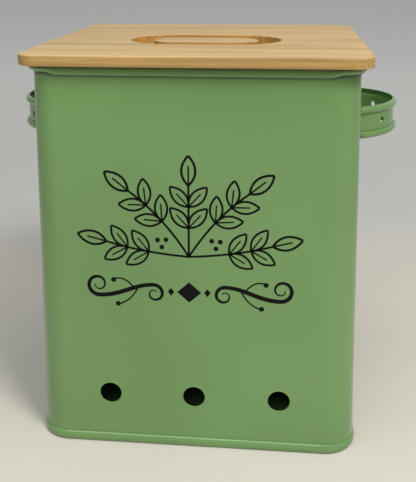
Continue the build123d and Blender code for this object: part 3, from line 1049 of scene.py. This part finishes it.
def slotted_board(name, outline, edge, slot_outline, slot_edge, centre, material):
    """A board with one hole: both edges lofted, both faces filled between them."""
    shape = bmesh.new()
    borders = []
    for places, radius, rows, middle in (
        (outline[0], outline[1], edge, (0, 0)), (slot_outline[0], slot_outline[1], slot_edge, centre)
    ):
        rings = [ring_at(places, (radius - inset) * MM, z * MM, middle) for inset, z in rows]
        rows_of = [[shape.verts.new(point) for point in ring] for ring in rings]
        count = len(rows_of[0])
        for low, high in zip(rows_of, rows_of[1:]):
            for k in range(count):
                shape.faces.new((low[k], low[(k + 1) % count], high[(k + 1) % count], high[k]))
        borders.append((rows_of[0], rows_of[-1]))
    bmesh.ops.remove_doubles(shape, verts=shape.verts, dist=0.0005 * MM)
    for z in (edge[0][1] * MM, edge[-1][1] * MM):
        rim = [e for e in shape.edges if len(e.link_faces) == 1
               and all(abs(v.co.z - z) < 0.01 * MM for v in e.verts)]
        bmesh.ops.triangle_fill(shape, use_beauty=True, edges=rim)
    mesh = bpy.data.meshes.new(name)
    shape.to_mesh(mesh)
    shape.free()
    mesh.materials.append(material)
    return tidy(link(name, mesh), sharp=50)


LID_LOW = 295.0
LID_HIGH = 303.0
lid_outline = (rounded(124.5 * MM, 120 * MM, 15 * MM), 15.0)
slot_outline = (rounded(60.5 * MM, 34 * MM, 34 * MM, 24), 34.0)
slot_edge = [(-inset, z) for inset, z in eased(0.4, LID_LOW, LID_HIGH)]
lid_board = slotted_board(
    "lid_bamboo_board", lid_outline, eased(1.0, LID_LOW, LID_HIGH), slot_outline, slot_edge,
    (0, -14 * MM), wood,
)
bar_outline = rounded(42.25 * MM, 16 * MM, 16 * MM, 24)
bar_rows = eased(0.4, LID_LOW, LID_HIGH - 0.3)
grip_bar = lofted(
    "lid_grip", [ring_at(bar_outline, (16 - inset) * MM, z * MM, (0, -15 * MM))
                 for inset, z in bar_rows], wood, sharp=50,
)
for piece, node in ((lid_board, "lid_board"), (grip_bar, "lid_grip_bar")):
    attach(piece, "lid")
    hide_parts(node)

# %% [markdown]
# ## Screws under the lid
#
# The lid board and the bar are held to the smaller locating board by eight wood screws, sunk in
# counterbores from below. A screw is turned like a rivet, its cross recess is cut by two small
# bars, and a fine ridge winds up its shank. All eight are set out by the same tree.

# %% Screws
def crossed_recess(name, half, width, depth):
    """A cross-shaped plug, narrowing inward, as the cutter for a screw's recess."""
    arm = width / 2
    corner = [(half, -arm), (half, arm), (arm, arm)]
    outline = []
    for turn in range(4):
        spin = Matrix.Rotation(math.radians(90 * turn), 2)
        outline += [spin @ Vector(point) for point in corner]
    rings = []
    for share, level in ((1.0, -2.2 * MM - depth), (1.0, -2.2 * MM), (0.5, -2.2 * MM + depth)):
        rings.append([Vector((
            max(-half * share, min(half * share, p.x)), max(-half * share, min(half * share, p.y)),
            level,
        )) for p in outline])
    return lofted(name, rings, zinc)


def thread_tree():
    """A ridge that winds up a shank, tapering to its point."""
    tree, given = open_tree("wound_thread", {
        "Turns": "Float", "Radius": "Float", "Rise": "Float", "Ridge": "Float",
        "Material": "Material",
    })
    wind = add(tree, "GeometryNodeCurveSpiral", {
        "Resolution": 14, "Rotations": given["Turns"], "Start Radius": given["Radius"],
        "End Radius": math_node(tree, "MULTIPLY", given["Radius"], 0.55), "Height": given["Rise"],
    }).outputs[0]
    ridge = add(tree, "GeometryNodeCurvePrimitiveCircle", {
        "Resolution": 3, "Radius": given["Ridge"]
    }).outputs[0]
    wound = add(tree, "GeometryNodeCurveToMesh", {
        "Curve": wind, "Profile Curve": ridge, "Fill Caps": True
    }).outputs[0]
    raised = add(tree, "GeometryNodeTransform", {"Geometry": wound, "Translation": (0, 0, 0.0012)})
    both = add(tree, "GeometryNodeJoinGeometry", {0: raised.outputs[0]})
    tree.links.new(given["Geometry"], both.inputs[0])
    return close_tree(tree, both.outputs[0], given["Material"])


SCREW = [(0, -2.2), (2.3, -2.2), (2.9, -2.0), (3.25, -1.5), (3.3, -0.9), (3.3, 0.0), (1.4, 0.0),
         (1.3, 0.6), (1.3, 8.0), (0.9, 9.6), (0.25, 11.0), (0, 11.0)]
screw = turned("one_screw", SCREW, zinc, count=28, sharp=30)
recess = crossed_recess("recess_cutter", 1.9 * MM, 0.9 * MM, 1.2 * MM)
cut = screw.modifiers.new("recess", "BOOLEAN")
cut.object = recess
cut.operation = "DIFFERENCE"
cut.solver = "EXACT"
settle(screw, sharp=30)
use_tree(screw, thread_tree(), {
    "Turns": 6.0, "Radius": 1.3 * MM, "Rise": 8.2 * MM, "Ridge": 0.32 * MM, "Material": zinc
})
settle(screw, sharp=30)
forget(recess)
SEAT = 289.6 * MM
screw_places = [(x * MM, y * MM) for x in (-96, 0, 96) for y in (-90, 90)]
screw_places += [(-28 * MM, -15 * MM), (28 * MM, -15 * MM)]
up = Vector((0, 0, 1))
lid_screws = set_out(
    "lid_screws", [(Vector((x, y, SEAT)), up) for x, y in screw_places], screw, zinc, sharp=30
)
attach(lid_screws, "lid")
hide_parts("lid_board_screws", "grip_bar_screws")

# %% [markdown]
# The locating board under the lid has its right shape already, chamfer and counterbores
# included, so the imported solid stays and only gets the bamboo.

# %% Finish of the board that stays
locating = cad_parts["lid_locating_board"]
locating.data.materials.clear()
locating.data.materials.append(wood)
print("kept solid:", locating.name)

# %% [markdown]
# ## The print on the front
#
# The front carries a line print in black: a fan of leafy sprays, and a ruled ornament with
# scrolls under it. It is screen printed, so it is a film a few hundredths of a millimetre thick
# that lies exactly in the leaning face. Every line is a curve that is given a width, so one tree
# draws them all: it turns each line into a ribbon and then flattens the ribbon between the sheet
# and the top of the film. A second tree sets leaves along a stem in pairs, one on each side,
# with a last leaf at its tip. Both draw flat in the XY plane, in millimetres made metres, and
# the finished film is stood up against the wall.

# %% The line tree
FILM_TOP = 0.06 * MM
FILM_SUNK = -0.05 * MM


def flattened(tree, geometry):
    """Flatten ribbons to one film: points above the plane to its top, the rest into the sheet."""
    place = add(tree, "GeometryNodeInputPosition").outputs[0]
    part = add(tree, "ShaderNodeSeparateXYZ", {"Vector": place}).outputs
    above = math_node(tree, "GREATER_THAN", part["Z"], 0.0)
    level = ranged(tree, above, FILM_SUNK, FILM_TOP)
    spot = add(tree, "ShaderNodeCombineXYZ", {"X": part["X"], "Y": part["Y"], "Z": level}).outputs[0]
    return add(tree, "GeometryNodeSetPosition", {"Geometry": geometry, "Position": spot}).outputs[0]


def nib(tree, width):
    """The section of a drawn line: as wide as the line and a fraction as thick."""
    return add(tree, "GeometryNodeCurvePrimitiveQuadrilateral", {
        "Width": width, "Height": 0.4 * MM
    }).outputs[0]


def line_tree():
    """Ribbons along lines, their width swelling by an attribute."""
    tree, given = open_tree("drawn_lines", {"Line width": "Float", "Material": "Material"})
    lines = add(tree, "GeometryNodeMeshToCurve", {"Mesh": given["Geometry"]}).outputs[0]
    ribbon = add(tree, "GeometryNodeCurveToMesh", {
        "Curve": lines, "Profile Curve": nib(tree, given["Line width"]),
        "Scale": attribute(tree, "swell"), "Fill Caps": True,
    }).outputs[0]
    real = add(tree, "GeometryNodeRealizeInstances", {"Geometry": ribbon}).outputs[0]
    return close_tree(tree, flattened(tree, real), given["Material"])


def spray_tree():
    """A stem with pairs of outlined leaves and a last leaf at its tip."""
    tree, given = open_tree("leafy_spray", {
        "Line width": "Float", "Leaf length": "Float", "Leaf width": "Float", "Pairs": "Int",
        "First leaf at": "Float", "Splay": "Float", "Tip scale": "Float", "Material": "Material",
    })
    stem = add(tree, "GeometryNodeMeshToCurve", {"Mesh": given["Geometry"]}).outputs[0]
    stem_ribbon = add(tree, "GeometryNodeCurveToMesh", {
        "Curve": stem, "Profile Curve": nib(tree, given["Line width"]), "Fill Caps": True
    }).outputs[0]
    long, wide = given["Leaf length"], given["Leaf width"]
    parts = [
        add(tree, "GeometryNodeCurvePrimitiveBezierSegment", {
            "Resolution": 18,
            "Start Handle": along_and_across(tree, long, 0.30, wide, 0.66 * sign),
            "End Handle": along_and_across(tree, long, 0.68, wide, 0.60 * sign),
            "End": along_and_across(tree, long, 1.0, wide, 0.0), "Start": (0, 0, 0),
        }).outputs[0] for sign in (-1, 1)
    ]
    rib = add(tree, "GeometryNodeCurvePrimitiveLine", {
        "End": along_and_across(tree, long, 0.66, wide, 0.0), "Start": (0, 0, 0)
    }).outputs[0]
    outline = add(tree, "GeometryNodeJoinGeometry", {0: parts[0]})
    tree.links.new(parts[1], outline.inputs[0])
    line = add(tree, "GeometryNodeCurveToMesh", {
        "Curve": outline.outputs[0], "Profile Curve": nib(tree, given["Line width"]),
        "Fill Caps": True,
    }).outputs[0]
    thin = math_node(tree, "MULTIPLY", given["Line width"], 0.7)
    rib_line = add(tree, "GeometryNodeCurveToMesh", {
        "Curve": rib, "Profile Curve": nib(tree, thin), "Fill Caps": True
    }).outputs[0]
    leaf = add(tree, "GeometryNodeJoinGeometry", {0: line})
    tree.links.new(rib_line, leaf.inputs[0])
    used = add(tree, "GeometryNodeTrimCurve", {"Curve": stem}, mode="FACTOR")
    tree.links.new(given["First leaf at"], used.inputs[2])
    count = math_node(tree, "ADD", given["Pairs"], 1.0)
    spots = add(tree, "GeometryNodeResampleCurve", {"Curve": used.outputs[0], "Count": count})
    tip = add(tree, "GeometryNodeCurveEndpointSelection", {"Start Size": 0, "End Size": 1})
    tangent = add(tree, "GeometryNodeInputTangent").outputs[0]
    ahead = add(tree, "FunctionNodeAlignRotationToVector", {"Vector": tangent}, axis="X").outputs[0]
    whole = [stem_ribbon]
    for sign in (-1, 1, 0):
        angle = math_node(tree, "MULTIPLY", given["Splay"], float(sign))
        spin = add(tree, "FunctionNodeAxisAngleToRotation", {"Axis": (0, 0, 1), "Angle": angle})
        way = add(tree, "FunctionNodeRotateRotation", {
            "Rotation": ahead, "Rotate By": spin.outputs[0]
        }, rotation_space="LOCAL").outputs[0]
        chosen = tip.outputs[0]
        if sign:
            chosen = add(tree, "FunctionNodeBooleanMath", {0: chosen}, operation="NOT").outputs[0]
        size = given["Tip scale"] if sign == 0 else 1.0
        sockets = {
            "Points": spots.outputs[0], "Instance": leaf.outputs[0], "Rotation": way,
            "Selection": chosen,
        }
        placed = add(tree, "GeometryNodeInstanceOnPoints", sockets)
        if sign == 0:
            tree.links.new(size, placed.inputs["Scale"])
        whole.append(placed.outputs[0])
    joined = add(tree, "GeometryNodeJoinGeometry", {0: whole[0]})
    for more in whole[1:]:
        tree.links.new(more, joined.inputs[0])
    real = add(tree, "GeometryNodeRealizeInstances", {"Geometry": joined.outputs[0]}).outputs[0]
    return close_tree(tree, flattened(tree, real), given["Material"])


def along_and_across(tree, long, share, wide, part):
    """A point at a share of the leaf's length and a part of its width."""
    return add(tree, "ShaderNodeCombineXYZ", {
        "X": math_node(tree, "MULTIPLY", long, share), "Y": math_node(tree, "MULTIPLY", wide, part)
    }).outputs[0]


lines = line_tree()
spray = spray_tree()
print("line tree", len(lines.nodes), "nodes; spray tree", len(spray.nodes), "nodes")


# %% Draw the spray and the ornament
def bent(start, turn, end, count=24):
    """Points of a smooth bend through a control point, in mm."""
    rows = []
    for k in range(count + 1):
        t = k / count
        a, b, c = (1 - t) ** 2, 2 * t * (1 - t), t ** 2
        rows.append((a * start[0] + b * turn[0] + c * end[0], a * start[1] + b * turn[1] + c * end[1]))
    return rows


def drawn(name, rows, swell=None, closed=False):
    """A line of points in mm as a mesh for the line or spray tree."""
    swell = swell or [1.0] * len(rows)
    return attributed(name, [(x * MM, y * MM, 0) for x, y in rows], closed, swell=swell)


LINE = 1.6 * MM
FOOT = (0.0, 156.0)
STEMS = (
    ((0.0, 185.0), (0.0, 210.0), 0.41), ((19.0, 187.0), (44.0, 205.0), 0.50),
    ((34.0, 158.0), (61.0, 166.0), 0.48),
)


def leafy_sprays():
    """Five sprays that fan out from one foot, the same to left and right."""
    made = []
    for turn, end, first in STEMS:
        for side in ((1,) if end[0] == 0 else (-1, 1)):
            rows = bent(FOOT, (side * turn[0], turn[1]), (side * end[0], end[1]))
            stem = drawn("spray_%d" % len(made), rows)
            use_tree(stem, spray, {
                "Line width": LINE, "Leaf length": 20 * MM, "Leaf width": 9.6 * MM,
                "Pairs": 2, "First leaf at": first, "Splay": math.radians(42),
                "Tip scale": 1.1, "Material": ink,
            })
            made.append(settle(stem, sharp=40))
    return made


def ring_rows(x, y, radius, count=24):
    """Points round a circle."""
    angles = [math.tau * k / count for k in range(count)]
    return [(x + radius * math.cos(a), y + radius * math.sin(a)) for a in angles]


def winding(centre, start, turns, first, last, count):
    """Points of a spiral round a centre: its first direction and turns in degrees, its radii."""
    rows = []
    for k in range(count + 1):
        angle = math.radians(start + turns * k / count)
        reach = first + (last - first) * k / count
        rows.append((centre[0] + reach * math.cos(angle), centre[1] + reach * math.sin(angle)))
    return rows


def swash(side):
    """A long line between two scrolls, thin at its ends and broad in the middle."""
    rows = winding((26, 126), 500, -410, 2.0, 7.0, 34)
    for k in range(1, 20):
        t = k / 20
        a, b, c, d = (1 - t) ** 3, 3 * t * (1 - t) ** 2, 3 * t ** 2 * (1 - t), t ** 3
        rows.append((26 * a + 42 * b + 50 * c + 68 * d, 133 * a + 133 * b + 123.5 * c + 123.5 * d))
    rows += winding((68, 132), -90, 450, 8.5, 2.4, 40)
    last = len(rows) - 1
    swell = [0.5 + 1.6 * math.sin(math.pi * k / last) ** 2 for k in range(len(rows))]
    return [(side * x, y) for x, y in rows], swell


def ornament():
    """Two scrolled swashes with a tendril above and below, the traditional printer's rule."""
    made = []
    for side in (-1, 1):
        rows, swell = swash(side)
        made.append(use_tree(drawn("swash_%d" % side, rows, swell), lines, {
            "Line width": LINE, "Material": ink
        }))
        for ends in (((41, 130), (48, 139), (55, 137)), ((38, 131), (43, 120), (52, 117))):
            tendril = bent(*[(side * x, y) for x, y in ends], count=12)
            made.append(use_tree(drawn("tendril_%d" % len(made), tendril), lines, {
                "Line width": 0.7 * LINE, "Material": ink
            }))
    return [settle(thing, sharp=40) for thing in made]


def blots(name, shapes):
    """Filled outlines as one film: each is a list of points in mm."""
    shape = bmesh.new()
    for rows in shapes:
        low = [shape.verts.new((x * MM, y * MM, FILM_SUNK)) for x, y in rows]
        high = [shape.verts.new((x * MM, y * MM, FILM_TOP)) for x, y in rows]
        shape.faces.new(list(reversed(low)))
        shape.faces.new(high)
        for k in range(len(rows)):
            j = (k + 1) % len(rows)
            shape.faces.new((low[k], low[j], high[j], high[k]))
    mesh = bpy.data.meshes.new(name)
    shape.to_mesh(mesh)
    shape.free()
    mesh.materials.append(ink)
    return tidy(link(name, mesh), sharp=40)


def diamond(x, y, half_wide, half_tall):
    """Four corners of a diamond."""
    return [(x - half_wide, y), (x, y - half_tall), (x + half_wide, y), (x, y + half_tall)]


def berries():
    """Solid berries in threes between the sprays, the ornament's diamonds and its berries."""
    shapes = []
    for angle in (28, 152):
        for turn, reach in ((-9, 21), (9, 21), (0, 26)):
            a = math.radians(angle + turn)
            shapes.append(ring_rows(FOOT[0] + reach * math.cos(a), FOOT[1] + reach * math.sin(a), 1.8))
    shapes.append(diamond(0, 128, 9, 8))
    for side in (-1, 1):
        shapes.append(diamond(side * 13.5, 128, 2.4, 3.2))
        for x, y in ((56.5, 136), (53.5, 117)):
            shapes.append(ring_rows(side * x, y, 1.9))
    return blots("berries_and_diamonds", shapes)


PRINT_MIDDLE = -3.0 * MM


def stand_up(things, name):
    """Join the flat film's parts and stand it against the leaning front."""
    shape = bmesh.new()
    for thing in things:
        shape.from_mesh(thing.data)
    mesh = bpy.data.meshes.new(name)
    shape.to_mesh(mesh)
    shape.free()
    mesh.materials.append(ink)
    forget(*things)
    tilt = Matrix.Rotation(math.radians(90) - math.atan(LEAN), 4, "X")
    foot = Matrix.Translation((PRINT_MIDDLE, -(AXIS_Y + WALL_CORNER), 0))
    mesh.transform(foot @ tilt)
    return tidy(link(name, mesh), sharp=40)


front_print = stand_up(leafy_sprays() + ornament() + [berries()], "front_print")
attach(front_print, "bin")

# %% [markdown]
# ## Floor, light and backdrop
#
# The bin stands on a pale floor under soft studio light. One large lamp at the right and in
# front is the main light, so the shadow falls to the left and back; a weaker one on the left
# keeps the shaded side open, a broad one overhead lights the lid, and a long strip in front draws
# the highlight along the beads. The world is grey, brighter from above; the camera sees a pale
# backdrop in it, and a reflection sees a dark room in front fading to that backdrop behind.

# %% Floor
def pale_floor():
    """A wide floor of pale, faintly clouded stone."""
    mesh = bpy.data.meshes.new("floor")
    mesh.from_pydata([(-7, -1.8, 0), (7, -1.8, 0), (7, 9, 0), (-7, 9, 0)], [], [(0, 1, 2, 3)])
    floor = link("floor", mesh)
    material, tree, shader, place = new_material("pale_stone")
    cloud = noise(tree, place, 5.0, 4.0)
    near = blend(tree, cloud, (0.59, 0.555, 0.49, 1), (0.67, 0.635, 0.565, 1))
    back = add(tree, "ShaderNodeSeparateXYZ", {"Vector": place}).outputs["Y"]
    share = ranged(tree, back, 0.0, 1.0, 0.24, 0.46)
    far = steps(tree, math_node(tree, "DIVIDE", back, 2.4), [
        (0.19, (0.58, 0.58, 0.55, 1)), (0.31, (0.64, 0.64, 0.60, 1)), (0.46, (0.75, 0.75, 0.70, 1)),
        (0.70, (0.88, 0.88, 0.83, 1)), (0.92, (0.92, 0.92, 0.87, 1)),
    ])
    tree.links.new(blend(tree, share, near, far), shader.inputs["Base Color"])
    tree.links.new(ranged(tree, cloud, 0.45, 0.6), shader.inputs["Roughness"])
    shader.inputs["Specular IOR Level"].default_value = 0.2
    mesh.materials.append(material)
    return floor


pale_floor()


# %% Lamps and world
def softbox(name, place, aim, size, watts, colour=(1, 1, 1)):
    """A rectangular lamp at a place, turned to face a point."""
    lamp = bpy.data.lights.new(name, "AREA")
    lamp.shape = "RECTANGLE"
    lamp.size, lamp.size_y = size
    lamp.energy = watts
    lamp.color = colour
    thing = bpy.data.objects.new(name, lamp)
    bpy.context.scene.collection.objects.link(thing)
    thing.location = place
    facing = Vector(place) - Vector(aim)
    thing.rotation_euler = facing.to_track_quat("Z", "Y").to_euler()
    return thing


softbox("main_softbox", (0.70, -0.84, 1.45), (0, 0, 0.15), (0.45, 0.45), 19, (1, 0.978, 0.935))
softbox("left_fill", (-1.3, -1.1, 0.8), (0, 0, 0.15), (0.9, 1.2), 1.0, (0.95, 0.98, 1))
softbox("overhead", (-0.05, -0.45, 1.75), (0, 0, 0.2), (1.2, 0.8), 6.5)
softbox("front_strip", (-0.20, -1.38, 1.06), (0, -0.1, 0.05), (1.1, 0.22), 4.0, (0.97, 0.99, 1))


def studio_world(strength, grey, backdrop, room):
    """Even light, with a pale backdrop where the camera or a reflection looks."""
    world = bpy.data.worlds.new("studio")
    bpy.context.scene.world = world
    world.use_nodes = True
    tree = world.node_tree
    light = tree.nodes["Background"]
    way = add(tree, "ShaderNodeSeparateXYZ", {
        "Vector": add(tree, "ShaderNodeTexCoord").outputs["Generated"]
    }).outputs
    light.inputs["Color"].default_value = grey
    height = ranged(tree, way["Z"], 0.22 * strength, 1.3 * strength)
    tree.links.new(height, light.inputs["Strength"])
    mirrored = blend(tree, ranged(tree, way["Y"], 0.0, 1.0, 0.25, 0.85), room, backdrop)
    ray = add(tree, "ShaderNodeLightPath").outputs
    far = blend(tree, ray["Is Camera Ray"], mirrored, backdrop)
    seen = add(tree, "ShaderNodeBackground", {"Color": far, "Strength": 1.0})
    share = math_node(tree, "MAXIMUM", ray["Is Camera Ray"], ray["Is Glossy Ray"])
    share = math_node(tree, "MAXIMUM", share, ray["Is Transmission Ray"])
    both = add(tree, "ShaderNodeMixShader", {0: share, 1: light.outputs[0], 2: seen.outputs[0]})
    tree.links.new(both.outputs[0], tree.nodes["World Output"].inputs["Surface"])


studio_world(0.44, (0.95, 0.97, 1.0, 1), (0.46, 0.47, 0.45, 1), (0.10, 0.10, 0.095, 1))
scene = bpy.context.scene
scene.view_settings.view_transform = "Standard"
print("lamps and world set")

# %% [markdown]
# ## Clear away the helper marks
#
# The helper marks that the trees read are removed.

# %% Finish
forget(vent_marks, rivet_marks)
